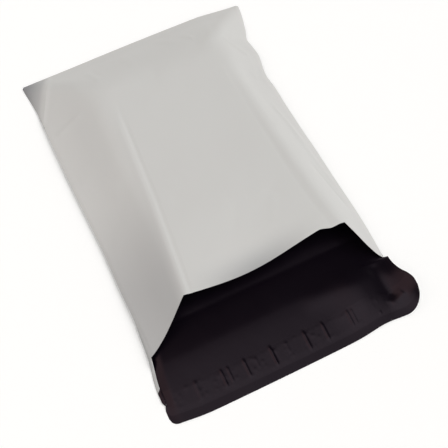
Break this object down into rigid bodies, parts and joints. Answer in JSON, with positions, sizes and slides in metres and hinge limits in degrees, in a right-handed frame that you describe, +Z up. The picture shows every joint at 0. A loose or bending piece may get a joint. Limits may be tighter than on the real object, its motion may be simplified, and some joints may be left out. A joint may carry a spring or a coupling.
{
  "type": "poly mailer",
  "caption": "Self-seal film mailing bag lying flat in its filled shape, white outside and black inside, with an open mouth and a flap with a covered adhesive strip.",
  "frame": {"origin": "on the underside's flat ground face, midway between the side welds and midway between the closed end and the flap's free edge", "axes": "+X across the bag to the right seen from the flap, +Y along the bag to the closed end, +Z up out of the ground face"},
  "size_m": [0.2557, 0.3968, 0.0275],
  "materials": {
    "bag_film": "satin co-extruded film, opaque white outside and black inside",
    "adhesive": "hot-melt adhesive, hidden under the liner",
    "liner": "thin dark release film, lightly creased across"
  },
  "bodies": {
    "root": {"mailer_bag": "bag_film", "adhesive_strip": "adhesive", "release_liner": "liner"}
  },
  "joints": []
}
